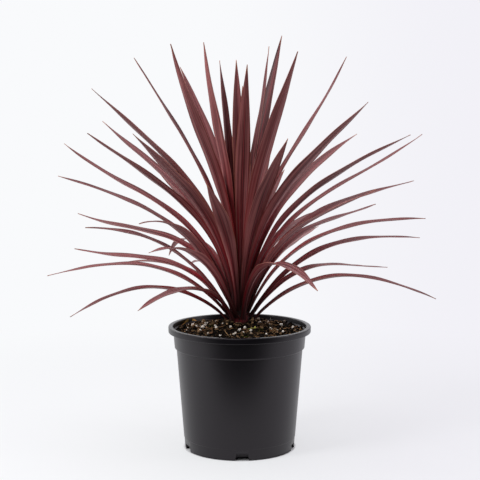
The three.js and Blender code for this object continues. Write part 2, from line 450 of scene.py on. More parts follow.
def makeSoil():
    surface = 1.0              # stands for the uneven surface until its height is worked out
    rings = [
        (0, soil["bottom"]), (pot["wallRadius"] - soil["footClear"], soil["bottom"]),
        (pot["wallRadius"] - soil["wallClear"], pot["collarFoot"] - soil["collarDrop"]),
        (soil["radius"], soil["edge"] - soil["edgeDrop"]),
    ]
    for ring in range(soil["rings"], -1, -1):
        radius = soil["hole"] + (soil["radius"] - soil["hole"]) * ring / soil["rings"]
        rings.append((radius, surface))
    holeFloor = soil["bottom"] + soil["holeRise"]
    rings += [(soil["hole"], holeFloor), (0, holeFloor)]
    form = turned(rings, soil["steps"])
    for vert in form.verts:
        if vert.co.z > surface / 2:
            vert.co.z = soilHeight(vert.co.x, vert.co.y)
    bmesh.ops.recalc_face_normals(form, faces=form.faces[:])
    addPiece("soil_bed", form, [soilShader()], ["soil"])


# What lies on the soil: how many, sizes, and radii between which random ones lie
cover = {
    "seed": 31,
    "pixelSize": 0.00149,      # metres that a pixel of the photograph spans at the soil
    "grainMore": 0.6,          # pixels by which a white grain is wider, to show among the crumbs
    "grainScale": 1.1,
    "beads": 60,
    "beadSize": (0.0015, 0.0038),
    "beadShape": (1, 0.85, 0.8),
    "beadSpread": (0.022, 0.096),
    "laidOut": (0.09, -0.02),  # in front, within this x and y, the white grains are only the listed ones
    "sunk": 0.15,              # crumbs and chips have their middle this share of their size up
    "crumbs": 1150,
    "crumbLeast": 0.0010,
    "crumbMore": 0.0050,
    "crumbShape": (1.3, 1, 0.8),
    "crumbSpread": (0.019, 0.0968),
    "banked": 150,             # crumbs heaped against the plant
    "bankedSize": (0.002, 0.006),
    "bankedSpread": (0.0186, 0.025),
    "bankedLift": 0.0025,
    "chips": 170,
    "chipSize": (0.004, 0.012),
    "chipShape": (1, 0.6, 0.4),
    "chipNarrow": (0.3, 0.6),
    "chipThin": (0.12, 0.3),
    "chipSharp": 30,           # degrees
    "chipSpread": (0.021, 0.094),
    "twigRadius": 0.00055,
    "twigLift": 0.0012,
    "fibres": 130,
    "fibreSteps": 4,
    "fibreLength": (0.004, 0.016),
    "fibreBend": 1.2,          # radians
    "fibreRadius": (0.00016, 0.0004),
    "fibreLift": (0.0009, 0.002),
    "fibreSpread": (0.024, 0.086),
    "fibreEnd": 0.096,
    "moss": 260,
    "mossReach": 0.006,
    "mossSize": (0.0006, 0.0014),
    "mossShape": (0.6, 0.6, 1.5),
    "mossSpread": (0.019, 0.096),
    "gloss": 0.06,
}

# Their darkest and lightest shades
coverShades = {
    "perlite": (colour(150, 118, 88), colour(252, 246, 236)),
    "crumb": (colour(6, 5, 4), colour(160, 128, 96)),
    "bark": (colour(24, 16, 11), colour(180, 128, 86)),
    "fibre": (colour(66, 44, 28), colour(196, 158, 112)),
    "moss": (colour(24, 34, 10), colour(104, 112, 34)),
    "litter": (colour(104, 92, 30), colour(190, 140, 88)),
    "shoot": (colour(112, 104, 30), colour(206, 204, 110)),
}


def grainShader(name, rough, bump):
    # Each crumb, chip or the like has its own shade between the two that the name stands for
    shader = Shader(name)
    tone = shader.attribute("tone")
    place = shader.place()
    mottle = shader.noise(place, 700, 3, 0.6)
    share = (tone * 0.9 + mottle * 0.4 - 0.2).clipped()
    shader.set(Base_Color=shader.mix(share, *coverShades[name]))
    shader.set(Roughness=rough, Specular_IOR_Level=cover["gloss"])
    shader.bump(mottle, 0.6, bump)
    return shader


def ballShape(subdivisions):
    # The points and faces of a ball that is 1 across, to be stamped many times
    form = bmesh.new()
    bmesh.ops.create_icosphere(form, subdivisions=subdivisions, radius=0.5)
    form.verts.index_update()
    points = [vert.co.copy() for vert in form.verts]
    faces = [[vert.index for vert in face.verts] for face in form.faces]
    form.free()
    return points, faces


pebble = ballShape(1)
bead = ballShape(2)


def scaled(size, shares):
    return tuple(size * share for share in shares)


class Scatter:
    # Lumps of one kind, gathered in one mesh, each with a shade of its own
    noiseSpan = 50
    tubeSides = 5

    def __init__(self):
        self.form = bmesh.new()
        self.tone = self.form.verts.layers.float.new("tone")

    def lump(self, shape, place, size, tone, turn, rough):
        shift = Vector((dice.random(), dice.random(), dice.random())) * self.noiseSpan
        made = []
        for corner in shape[0]:
            point = corner * (1 + rough * noise.noise(corner * 3 + shift))
            vert = self.form.verts.new(turn @ Vector(map(float.__mul__, point, size)) + place)
            vert[self.tone] = tone
            made.append(vert)
        for face in shape[1]:
            self.form.faces.new([made[index] for index in face])

    def strand(self, points, radius, tone):
        # A thin tube that narrows to both ends
        ring = bmesh.ops.create_circle(self.form, segments=self.tubeSides, radius=1)["verts"]
        ringEdges = list({edge for vert in ring for edge in vert.link_edges})
        bmesh.ops.contextual_create(self.form, geom=ringEdges)
        shape = [vert.co.copy() for vert in ring]
        made = list(ring)
        for index, point in enumerate(points):
            if index:
                grown = bmesh.ops.extrude_edge_only(self.form, edges=ringEdges)["geom"]
                ring = [item for item in grown if isinstance(item, bmesh.types.BMVert)]
                ringEdges = [item for item in grown if isinstance(item, bmesh.types.BMEdge)]
                made += ring
            following = points[min(index + 1, len(points) - 1)]
            ahead = following - points[max(index - 1, 0)]
            turn = ahead.to_track_quat("Z", "Y")
            thick = radius * (0.35 + 0.65 * math.sin(math.pi * (index + 0.5) / len(points)))
            for vert, corner in zip(ring, shape):
                vert.co = point + turn @ (corner * thick)
        bmesh.ops.contextual_create(self.form, geom=ringEdges)
        for vert in made:
            vert[self.tone] = tone

    def finish(self, name, kind, rough, bump=0.0006, sharp=0):
        bmesh.ops.recalc_face_normals(self.form, faces=self.form.faces[:])
        addPiece(name, self.form, [grainShader(kind, rough, bump)], (), sharp)


dice = random.Random(cover["seed"])


def anySpot(spread, lift=0):
    # A random place on the soil between two radii, evenly spread
    inner, outer = spread
    radius = math.sqrt(blendOf(inner ** 2, outer ** 2, dice.random()))
    turn = dice.uniform(0, 2 * math.pi)
    return onSoil(radius * math.cos(turn), radius * math.sin(turn), lift)


def anyTurn(tilt):
    spin = Matrix.Rotation(dice.uniform(0, 2 * math.pi), 3, "Z")
    roll = Matrix.Rotation(dice.uniform(-tilt, tilt), 3, "X")
    pitch = Matrix.Rotation(dice.uniform(-tilt, tilt), 3, "Y")
    return spin @ roll @ pitch


# What shows on the soil: pixel across and down, width in pixels, and shade from tan to white
whiteGrains = [
    (215.2, 326.8, 1.9, 1.0), (216.1, 328.7, 2.2, 1.0), (220.3, 336.5, 1.6, 1.0), (239.4, 331.9, 2.9, 1.0),
    (244.8, 329.1, 2.3, 0.9), (250.9, 332.2, 2.5, 1.0), (235.2, 334.5, 2.0, 0.8), (233.5, 335.6, 2.1, 0.6),
    (243.3, 334.3, 2.3, 0.8), (208.1, 334.5, 1.8, 0.5), (230.4, 336.4, 1.4, 0.4), (251.1, 334.7, 1.8, 0.3),
    (205.8, 326.5, 2.0, 0.7), (207.5, 323.6, 1.3, 0.8), (216.5, 322.6, 1.5, 0.7), (230.6, 328.0, 2.0, 0.7),
    (222.6, 324.4, 1.3, 0.8), (258.6, 320.1, 2.2, 0.4), (192.6, 326.7, 2.7, 0.9), (197.0, 327.8, 2.5, 0.8),
    (202.8, 328.9, 3.0, 1.0), (200.4, 331.3, 1.7, 1.0), (204.7, 326.4, 1.6, 0.8), (186.7, 331.3, 1.5, 0.4),
    (281.0, 326.4, 3.0, 1.0), (292.8, 328.6, 2.2, 0.9), (283.0, 332.9, 2.2, 0.9), (301.9, 327.1, 2.1, 0.7),
    (291.2, 320.5, 1.7, 0.9), (284.8, 322.3, 2.0, 0.4), (266.3, 335.4, 1.9, 1.0), (270.5, 329.0, 1.4, 0.8),
    (271.1, 319.5, 1.7, 0.9), (265.3, 320.3, 1.5, 0.7), (212.0, 319.8, 1.3, 0.6),
]
brownChips = [
    (297.3, 329.3, 3.0, 0.9), (295.8, 321.1, 3.2, 0.6), (286.9, 319.6, 2.6, 0.7), (270.6, 335.1, 2.4, 1.0),
    (275.7, 332.6, 3.4, 0.6), (238.1, 337.0, 2.2, 0.7), (248.4, 326.4, 2.0, 0.9), (222.0, 326.0, 2.6, 0.9),
    (182.3, 321.2, 2.6, 0.9), (262.0, 333.6, 3.4, 0.5), (209.5, 334.9, 2.2, 0.7), (267.6, 324.6, 4.0, 0.4),
    (189.0, 334.0, 3.0, 0.5), (259.0, 322.4, 3.6, 0.5),
]
mossSpots = [(212.7, 325.4), (244.4, 331.6), (261.6, 329.2), (258.5, 331.0), (231.0, 331.5), (200.0, 322.4)]
twigs = [
    [(224.1, 331.0), (226.5, 334.0), (229.5, 337.6)], [(231.8, 326.3), (234.0, 324.8), (236.0, 323.6)],
    [(300.4, 329.2), (302.3, 326.5), (304.6, 323.8)], [(277.0, 331.0), (281.5, 329.6), (287.0, 329.4)],
    [(259.0, 326.5), (265.0, 324.2), (273.0, 323.0)],
]


def makePerlite():
    white = Scatter()
    for x, y, wide, tone in whiteGrains:
        size = (wide + cover["grainMore"]) * cover["pixelSize"] * cover["grainScale"]
        spot = soilSpot(x, y, size * 0.5)
        white.lump(bead, spot, scaled(size, cover["beadShape"]), tone, anyTurn(1), 0.5)
    sideLimit, frontLimit = cover["laidOut"]
    for repeat in range(cover["beads"]):
        spot = anySpot(cover["beadSpread"])
        if abs(spot.x) < sideLimit and spot.y < frontLimit:
            continue
        size = dice.uniform(*cover["beadSize"])
        white.lump(bead, spot, scaled(size, cover["beadShape"]), dice.uniform(0.4, 1), anyTurn(1), 0.5)
    white.finish("perlite", "perlite", 0.75, 0.0003)


def makeCrumbs():
    crumbs = Scatter()
    for repeat in range(cover["crumbs"]):
        size = cover["crumbLeast"] + cover["crumbMore"] * dice.random() ** 2
        spot = anySpot(cover["crumbSpread"], size * cover["sunk"])
        crumbs.lump(pebble, spot, scaled(size, cover["crumbShape"]), dice.random() ** 4, anyTurn(0.8), 0.8)
    for repeat in range(cover["banked"]):
        size = dice.uniform(*cover["bankedSize"])
        spot = anySpot(cover["bankedSpread"]) + Vector((0, 0, dice.uniform(0, cover["bankedLift"])))
        crumbs.lump(pebble, spot, scaled(size, cover["crumbShape"]), dice.random() ** 3, anyTurn(0.8), 0.8)
    crumbs.finish("soil_crumbs", "crumb", 0.95)


def makeBark():
    bark = Scatter()
    for x, y, wide, tone in brownChips:
        size = wide * cover["pixelSize"]
        spot = soilSpot(x, y, size * cover["sunk"])
        bark.lump(pebble, spot, scaled(size, cover["chipShape"]), tone, anyTurn(0.5), 1.2)
    for repeat in range(cover["chips"]):
        size = dice.uniform(*cover["chipSize"])
        shape = scaled(size, (1, dice.uniform(*cover["chipNarrow"]), dice.uniform(*cover["chipThin"])))
        spot = anySpot(cover["chipSpread"])
        bark.lump(pebble, spot, shape, 0.6 * dice.random() ** 2, anyTurn(0.4), 1.2)
    bark.finish("bark_chips", "bark", 0.85, sharp=cover["chipSharp"])


def fibrePath():
    # The points of a fibre that bends evenly and lifts off the soil a little
    spot = anySpot(cover["fibreSpread"])
    turn = dice.uniform(0, 2 * math.pi)
    length = dice.uniform(*cover["fibreLength"])
    bend = dice.uniform(-cover["fibreBend"], cover["fibreBend"])
    low, more = cover["fibreLift"]
    points = []
    for step in range(cover["fibreSteps"] + 1):
        share = step / cover["fibreSteps"]
        heading = turn + bend * share
        x = spot.x + length * share * math.cos(heading)
        y = spot.y + length * share * math.sin(heading)
        if math.hypot(x, y) > cover["fibreEnd"]:
            break
        points.append(onSoil(x, y, low + more * share * dice.random()))
    return points


def makeFibres():
    fibres = Scatter()
    for pixels in twigs:
        points = [soilSpot(x, y, cover["twigLift"]) for x, y in pixels]
        fibres.strand(points, cover["twigRadius"], 0.9)
    for repeat in range(cover["fibres"]):
        points = fibrePath()
        if len(points) > 2:
            fibres.strand(points, dice.uniform(*cover["fibreRadius"]), dice.random())
    fibres.finish("root_fibres", "fibre", 0.8)


def makeMoss():
    moss = Scatter()
    inner, outer = cover["mossSpread"]
    for pixelX, pixelY in mossSpots:
        middle = soilSpot(pixelX, pixelY)
        for repeat in range(cover["moss"] // len(mossSpots)):
            reach = cover["mossReach"] * math.sqrt(dice.random())
            turn = dice.uniform(0, 2 * math.pi)
            x, y = middle.x + reach * math.cos(turn), middle.y + reach * math.sin(turn)
            if not inner < math.hypot(x, y) < outer:
                continue
            size = dice.uniform(*cover["mossSize"])
            spot = onSoil(x, y, size * 0.3)
            moss.lump(pebble, spot, scaled(size, cover["mossShape"]), dice.random(), anyTurn(0.6), 0.4)
    moss.finish("moss", "moss", 0.9)


# A curled dead leaf near the left wall
litter = {
    "spine": [                 # pixels along it, and how far each point lies above the soil
        (181.6, 326.6, 0.002), (186.0, 325.0, 0.004), (190.3, 322.6, 0.005), (196.4, 322.6, 0.003),
    ],
    "along": 18,
    "across": 4,
    "wide": 0.0042,
    "thick": 0.0004,
    "horns": [
        [(190.0, 322.6), (190.2, 321.0), (190.5, 319.8)], [(182.4, 323.4), (182.0, 321.6), (182.6, 320.2)],
    ],
    "hornRadius": 0.0012,
}


def makeLitter():
    dead = Scatter()
    form = dead.form
    spine = [soilSpot(*point) for point in litter["spine"]]
    bmesh.ops.create_grid(form, x_segments=litter["along"], y_segments=litter["across"], size=1)
    for vert in form.verts:
        share = (vert.co.x + 1) / 2
        place = share * (len(spine) - 1)
        first = min(int(place), len(spine) - 2)
        centre = spine[first].lerp(spine[first + 1], smooth(place - first))
        wide = litter["wide"] * math.sin(math.pi * clamp(share, 0.06, 0.97))
        across = vert.co.y
        vert[dead.tone] = 0.25 + 0.75 * abs(vert.co.x) ** 2
        vert.co = centre + Vector((0.15 * across, 0.8 * across, 0.5 * across + 0.5 * across ** 2)) * wide
    bmesh.ops.solidify(form, geom=form.faces[:], thickness=litter["thick"])
    for pixels in litter["horns"]:
        footX, footY = pixels[0]
        base = soilSpot(footX, footY)
        rise = [base + Vector((x - footX, 0, footY - y)) * cover["pixelSize"] for x, y in pixels]
        dead.strand(rise, litter["hornRadius"], 1.0)
    dead.finish("leaf_litter", "litter", 0.7)


# A seedling's pale shoot in front of the plant
seedling = {
    "foot": (248.2, 329.6),    # pixels
    "head": (255.0, 329.3),
    "rise": 0.002,
    "radius": 0.0006,
    "headSize": (0.0042, 0.003, 0.0036),
}


def makeSeedling():
    shoot = Scatter()
    foot, head = soilSpot(*seedling["foot"]), soilSpot(*seedling["head"])
    lift = Vector((0, 0, seedling["rise"]))
    middle = foot.lerp(head, 0.5) + lift
    shoot.strand([foot + lift * 0.4, middle, head + lift], seedling["radius"], 0.6)
    shoot.lump(bead, head + lift * 1.2, seedling["headSize"], 0.9, anyTurn(0.3), 0.5)
    shoot.finish("seedling", "shoot", 0.6)


makeSoil()
makePerlite()
makeCrumbs()
makeBark()
makeFibres()
makeMoss()
makeLitter()
makeSeedling()
print("soil made")

# The stem, hidden by the blades
stem = {
    "root": 0.095,
    "foot": 0.0175,
    "level": 0.187,            # height where it starts to narrow
    "tip": 0.0025,
    "dome": 0.72,
    "top": 0.242,
    "bevel": 0.003,
    "rings": 44,
    "steps": 64,
    "scar": 0.0003,            # depth of the rings that fallen leaves leave
    # Nearly black: painted shade for the dark gaps between the leaf feet, over the stem's own brown fibres
    "shades": (colour(22, 9, 8), colour(58, 26, 20)),
}


def stemRadius(height):
    down = clamp((stem["top"] - height) / (stem["top"] - stem["level"]))
    return stem["tip"] + (stem["foot"] - stem["tip"]) * down ** stem["dome"]


def makeStem():
    shader = Shader("stemSkinPaintedShade")
    place = shader.place()
    x, y, z = shader.parts(place)
    fibre = shader.noise(shader.vector(x * 6, y * 6, z), 120, 3)
    shader.set(Base_Color=shader.mix(fibre, *stem["shades"]), Roughness=0.85)
    shader.bump(fibre, 0.5, 0.0006)
    outline = [(0, stem["root"]), (stem["foot"] - stem["bevel"], stem["root"]),
               (stem["foot"], stem["root"] + 2 * stem["bevel"])]
    for ring in range(stem["rings"] + 1):
        height = stem["level"] + (stem["top"] - stem["level"]) * ring / stem["rings"]
        scar = stem["scar"] * math.cos(ring * math.pi / 2)
        outline.append((stemRadius(height) + scar, height))
    outline.append((0, stem["top"] + stem["tip"]))
    addPiece("stem_core", turned(outline, stem["steps"]), [shader], ["stem"])


makeStem()
print("stem made")

# The leaf blades
blade = {
    "thick": 0.0007,
    "baseShare": 0.38,         # width at the stem against the full width
    "widestFrom": 0.56,
    "tipLength": 0.4,
    "tipBluntness": 1.8,
    "tipStub": 0.004,
    "handleShare": 0.4,
    "foldLeast": 12,           # degrees that each half is raised from flat
    "foldMost": 34,
    "channel": 32,             # the lower part is folded this much more, as a channel
    "channelFrom": 0.10,       # between these shares of its length it closes and opens again
    "channelTo": 0.75,
    "footRoll": 26,            # degrees that a sideways blade's foot is rolled towards the front
    "rollStart": 0.06,
    "rolledFrom": 0.5,         # the roll grows along the blade to here
    "seatPitch": 0.0027,
    "seatSpread": 52,
    "seatSpreadTop": 50,
    "seatClear": 0.00075,
    "topSeat": 0.003,
    "along": 84,
    "across": 14,
    "ripple": 0.0005,
    "rippleTurns": 26,         # radians of it along the blade
    "raise": 1.2,              # how late each half rises, from 1 for a straight one
    "sagFrom": 0.5,
    "sagShift": 1.4,
}

sheath = {
    "highest": 0.209,          # leaves seated above this show no sheath
    "buried": 0.003,
    "above": 0.004,            # it ends this far above the blade's foot
    "footOut": 0.0016,         # distance from the stem at the soil and at the top
    "topOut": 0.0006,
    "footHalf": 0.0032,        # half its width at the soil
    "slant": 0.72,             # the feet lean together by this share, at the front and at the back
    "curl": 0.0016,
    "thick": 0.0006,
    # The sheaths use only this first share of the blade's u, so they take its darkest painted shade and
    # strongest red flush
    "uvShare": 0.13,
    "tones": (-1.2, 0.8),
    "along": 10,
    "across": 8,
}

# Each leaf: turn from +X, lean of its foot from upright, reach of its tip, height of its tip, lean of
# its tip, width, roll of its outer half, tone from dark to light, and how far its margins have browned
leaves = {
    "crown": [
        (235, 2, 0.168, 0.613, 27, 0.022, 0, 0.3, 0.2),
        (128, 3, 0.156, 0.590, 37, 0.021, 0, 0.1, 0.1),
        (222, 2, 0.071, 0.620, 11, 0.021, 0, 0.3, 0.2),
        (150, 3, 0.035, 0.596, 7, 0.025, 0, 0, 0.1),
        (110, 1, 0.014, 0.597, 2, 0.023, 0, 0.6, 0.7),
        (279, 3, 0.069, 0.587, 17, 0.023, 0, 0.2, 0.9),
        (15, 3, 0.046, 0.617, 8, 0.024, 0, -0.1, 0.4),
        (50, 3, 0.103, 0.637, 19, 0.024, 0, -0.7, 0.1),
        (302, 3, 0.154, 0.603, 30, 0.024, 0, 0.9, 0.2),
        (294, 9, 0.165, 0.482, 44, 0.025, 0, 0.6, 0.3),
        (60.5, 8, 0.148, 0.424, 54, 0.022, 0, 0.4, 0.2),
        (168, 4, 0.166, 0.601, 32, 0.021, 0, 0, 0.1),
        (15, 3.5, 0.171, 0.603, 29, 0.021, 0, 0, 0.1),
        (257, 18, 0.198, 0.420, 59, 0.023, 0, 0.7, 1),
        (215, 4, 0.040, 0.440, 12, 0.020, 0, -0.3, 0.1),
        (318, 1, 0.022, 0.440, 7, 0.020, 0, -0.3, 0.1),
        (61, 6, 0.118, 0.500, 29, 0.021, 0, -0.6, 0.1),
        (106, 2, 0.074, 0.520, 16, 0.020, 0, -0.3, 0.1),
    ],
    "left": [
        (218, 7, 0.259, 0.551, 51, 0.022, 0, 0.3, 0.2),
        (236, 14, 0.256, 0.490, 56, 0.027, 0, 0.1, 0.6),
        (140, 14, 0.300, 0.502, 60, 0.022, 0, -0.3, 0.2),
        (213, 10, 0.255, 0.489, 56.5, 0.023, -8, 0.4, 0.2),
        (152, 17, 0.327, 0.466, 59, 0.022, 0, -0.4, 0.2),
        (204, 20, 0.284, 0.428, 72, 0.022, 17, 0.2, 0.2),
        (150, 15.5, 0.310, 0.350, 79, 0.021, 8, 0, 0.1),
        (213, 35, 0.260, 0.356, 86, 0.021, 16, 0.1, 0.2),
        (170, 27.5, 0.264, 0.304, 84, 0.021, 10, 0, 0.1),
        (237, 42.5, 0.250, 0.368, 96, 0.023, 0, 0.5, 0.2),
        (247, 41, 0.303, 0.337, 93, 0.023, 0, 0.4, 0.2),
        (185, 37, 0.293, 0.271, 107, 0.021, 4, 0, 0.1),
        (200, 44, 0.265, 0.219, 124, 0.021, 0, -0.1, 0.2),
        (231, 33, 0.226, 0.243, 110, 0.023, 0, 0.4, 0.2),
        (120, 17, 0.243, 0.273, 142, 0.023, 0, 0.1, 0.1),
    ],
    "right": [
        (308, 9.5, 0.278, 0.532, 55, 0.024, 0, 0.1, 0.2),
        (45, 10, 0.279, 0.481, 67, 0.023, -5, 0.2, 0.4),
        (330, 11, 0.277, 0.487, 64.5, 0.023, 8, 0, 0.2),
        (14, 9, 0.297, 0.483, 58, 0.021, 0, 0, 0.1),
        (32, 19.5, 0.345, 0.403, 82, 0.022, -4, 0.1, 0.1),
        (312, 25, 0.276, 0.414, 71, 0.023, -8, 0.3, 0.2),
        (44, 25, 0.325, 0.360, 83, 0.020, 0, 0, 0.1),
        (64, 43, 0.318, 0.316, 83, 0.025, 0, 0.5, 0.2),
        (338, 23, 0.289, 0.366, 88, 0.021, -14, 0.1, 0.1),
        (24, 35, 0.324, 0.312, 98, 0.021, -6, -0.1, 0.1),
        (42, 46, 0.344, 0.250, 100, 0.021, 0, -0.1, 0.1),
        (352, 40, 0.299, 0.238, 118, 0.021, -3, 0, 0.2),
        (291, 15, 0.286, 0.285, 110, 0.024, 0, -0.1, 0.3),
    ],
    "back": [
        (88, 8, 0.150, 0.560, 28, 0.021, 0, 0, 0.2),
        (80, 12, 0.220, 0.465, 56, 0.022, 0, 0.1, 0.2),
        (104, 10, 0.205, 0.480, 50, 0.022, 0, -0.1, 0.1),
        (122, 16, 0.270, 0.420, 66, 0.022, 0, 0.1, 0.3),
        (92, 22, 0.290, 0.390, 72, 0.022, 0, -0.2, 0.2),
        (80, 44, 0.286, 0.270, 98, 0.021, 0, 0, 0.2),
        (108, 44, 0.290, 0.250, 104, 0.021, 0, 0.2, 0.1),
        (94, 52, 0.262, 0.212, 120, 0.021, 0, 0.1, 0.2),
        (58, 21, 0.280, 0.352, 82, 0.021, 0, 0, 0.1),
        (138, 40, 0.285, 0.262, 100, 0.021, 0, 0.1, 0.2),
    ],
}

# How far a blade sags before its tip turns up again, in metres
tipSags = {
    "leaf_crown_1": 0.0028, "leaf_crown_3": 0.0022, "leaf_crown_7": 0.0024, "leaf_crown_13": 0.0028,
    "leaf_left_3": 0.0024, "leaf_left_5": 0.003, "leaf_left_7": 0.003, "leaf_left_9": 0.003,
    "leaf_left_12": 0.002, "leaf_left_13": 0.002, "leaf_right_4": 0.0025, "leaf_right_5": 0.002,
    "leaf_right_6": 0.002, "leaf_right_7": 0.003, "leaf_right_10": 0.0015, "leaf_right_11": 0.003,
    "leaf_right_12": 0.003,
}


def seatHeights(rows):
    # The steepest leaf sits highest, and each further one a step below the lowest that it would overlap
    middle = (stem["level"] + stem["top"]) / 2
    slant = [math.atan2(row[2], row[3] - middle) for row in rows]
    order = sorted(range(len(rows)), key=lambda index: slant[index])
    layer = {}
    for rank, index in enumerate(order):
        depth = 0
        for other in order[:rank]:
            apart = abs((rows[index][0] - rows[other][0] + 540) % 360 - 180)
            if apart < blade["seatSpread"] + blade["seatSpreadTop"] / (1 + layer[other]):
                depth = max(depth, layer[other] + 1)
        layer[index] = depth
    top = stem["top"] - blade["topSeat"]
    return [top - blade["seatPitch"] * layer[index] for index in range(len(rows))]


def bladeHandles(row, seat):
    # The four points of the curve that the midrib follows
    turn, lean, tipLean = [math.radians(row[index]) for index in (0, 1, 4)]
    reach, height = row[2:4]
    out = Vector((math.cos(turn), math.sin(turn), 0))
    up = Vector((0, 0, 1))
    foot = out * (stemRadius(seat) + blade["seatClear"]) + up * seat
    tip = out * reach + up * height
    handle = blade["handleShare"] * (tip - foot).length
    return [
        foot, foot + (out * math.sin(lean) + up * math.cos(lean)) * handle,
        tip - (out * math.sin(tipLean) + up * math.cos(tipLean)) * handle, tip,
    ]


def onCurve(handles, share):
    # The point and the direction at a share of the curve
    left = 1 - share
    a, b, c, d = handles
    point = a * left ** 3 + b * 3 * share * left ** 2 + c * 3 * share ** 2 * left + d * share ** 3
    along = (b - a) * left ** 2 + (c - b) * 2 * share * left + (d - c) * share ** 2
    return point, along.normalized()


def bladeWidth(share, full):
    rise = blendOf(blade["baseShare"], 1, smooth(share / blade["widestFrom"]))
    left = min(1, (1 + blade["tipStub"] - share) / blade["tipLength"])
    return full * rise * (1 - (1 - left) ** blade["tipBluntness"])


# Colours and sheen of the blades
skin = {
    "top": (colour(66, 25, 29), colour(150, 88, 89)),
    "under": (colour(84, 34, 36), colour(172, 106, 105)),
    "flush": colour(158, 16, 36),
    "groove": colour(42, 11, 15),
    "rib": colour(164, 70, 76),
    "dry": colour(186, 120, 84),
    "glossTop": 0.22,
    "glossUnder": 0.26,
    "rough": 0.36,
    "bands": 5,                # across a blade, as are the next two
    "lines": 14,
    "veins": 60,
    "blotches": 45,
}


def leafShader(name, deepAndPale, gloss):
    # Blade colours run with the blade: u along it from the stem, v across it
    shader = Shader(name)
    u, v = shader.parts(shader.node("TexCoord", {}, {}, "UV"))[:2]
    tone, age, shift = [shader.attribute(key) for key in ("tone", "age", "shift")]
    across = (v - 0.5).math("ABSOLUTE") * 2
    bands = shader.noise(shader.vector(u * 1.2, v * skin["bands"] + shift, shift), 1, 2, 0.6)
    lines = shader.noise(shader.vector(u * 2.5, v * skin["lines"] + shift, shift), 1, 2, 0.5)
    veins = shader.noise(shader.vector(u * 5, v * skin["veins"], shift), 1, 2, 0.6)
    blotch = shader.noise(shader.place(), skin["blotches"], 3, 0.6)
    level = bands.rising(0.36, 0.64) * 0.35 + lines.rising(0.4, 0.6) * 0.55
    level = level + blotch * 0.2 + tone * 0.35 - 0.12
    body = shader.mix(level.clipped(), *deepAndPale)
    flush = (1 - u.rising(0.1, 0.7)) * (0.2 + (1 - bands.rising(0.38, 0.56)) * 0.8)
    body = shader.mix(flush.clipped(), body, skin["flush"])
    rib = (1 - across.rising(0.03, 0.10)) * (1 - u.rising(0.75, 1.0))
    groove = (1 - across.rising(0.10, 0.28)) * (1 - u.rising(0.6, 0.95))
    body = shader.mix(groove * 0.7, body, skin["groove"])
    body = shader.mix(rib * 0.6, body, skin["rib"])
    edge = across.rising(0.91, 0.98)
    margin = edge * (age * 0.45 + shader.noise(shader.vector(u * 9, v, shift), 1) * 0.16)
    tip = u.rising(0.955, 1.0) * (age * 0.5 + 0.3)
    body = shader.mix((margin + tip).clipped(), body, skin["dry"])
    # Darker towards the stem: painted shade where the leaf feet crowd together, varied by the veins
    shade = (0.12 + u.rising(-0.04, 0.36) * 0.88) * (0.8 + veins * 0.4)
    dull = (1 - u.rising(0.0, 0.35)) * 0.35
    shader.set(Base_Color=shader.brighten(body, shade))
    shader.set(Roughness=blotch * 0.12 + veins * 0.1 + dull + skin["rough"])
    shader.set(Specular_IOR_Level=gloss)
    shader.bump(veins * 0.2 + lines, 0.3, 0.0005)
    return shader


def bladeForm():
    # An empty form that can hold what the leaf shader reads
    form = bmesh.new()
    form.loops.layers.uv.new("UVMap")
    return form, [form.verts.layers.float.new(key) for key in ("tone", "age", "shift")]


def addGrid(form, size):
    return bmesh.ops.create_grid(form, x_segments=size["along"], y_segments=size["across"], size=1,
                                 calc_uvs=True)["verts"]


def thicken(piece, thick, under=0):
    # The underside and the edges take the material that is this many places further on
    shell = piece.modifiers.new("thickness", "SOLIDIFY")
    shell.thickness = thick
    shell.offset = -1
    shell.material_offset = under
    shell.material_offset_rim = under


def makeBlade(name, row, seat, shaders):
    turn, roll = math.radians(row[0]), math.radians(row[6])
    full, tone, age = row[5], row[7], row[8]
    handles = bladeHandles(row, seat)
    level = Vector((-math.sin(turn), math.cos(turn), 0))
    footRoll = -math.radians(blade["footRoll"]) * math.cos(turn)
    channel = math.radians(blade["channel"])
    form, layers = bladeForm()
    shift = dice.uniform(0, 20)
    for vert in addGrid(form, blade):
        share, across = (vert.co.x + 1) / 2, vert.co.y
        centre, along = onCurve(handles, share)
        twist = blendOf(footRoll, roll, smooth(share / blade["rolledFrom"]))
        side = Matrix.Rotation(-twist * smooth(share / blade["rollStart"]), 3, along) @ level
        up = along.cross(side).normalized()
        half = bladeWidth(share, full) / 2
        radius = max(1e-4, math.hypot(centre.x, centre.y))
        fold = clamp(half / (2 * radius), math.radians(blade["foldLeast"]), math.radians(blade["foldMost"]))
        closing = smooth(share / blade["channelFrom"]) * (1 - smooth(share / blade["channelTo"]))
        fold += channel * closing
        ripple = math.sin(share * blade["rippleTurns"] + shift + across) * across ** 2 * smooth(share * 3)
        outer = clamp((share - blade["sagFrom"]) / (1 - blade["sagFrom"]))
        sag = tipSags.get(name, 0) * math.sin(math.pi * outer ** blade["sagShift"])
        rise = abs(across) ** blade["raise"] * half * math.sin(fold)
        vert.co = (centre + side * (across * half * math.cos(fold))
                   + up * (rise + blade["ripple"] * ripple - sag))
        for layer, value in zip(layers, (tone, age, shift)):
            vert[layer] = value
    for edge in form.edges:
        edge.smooth = not edge.is_boundary
    piece = addPiece(name + "_blade", form, shaders, [name])
    thicken(piece, blade["thick"], 1)


def angleTo(start, end):
    # The shorter way from one angle to another
    return (end - start + math.pi) % (2 * math.pi) - math.pi


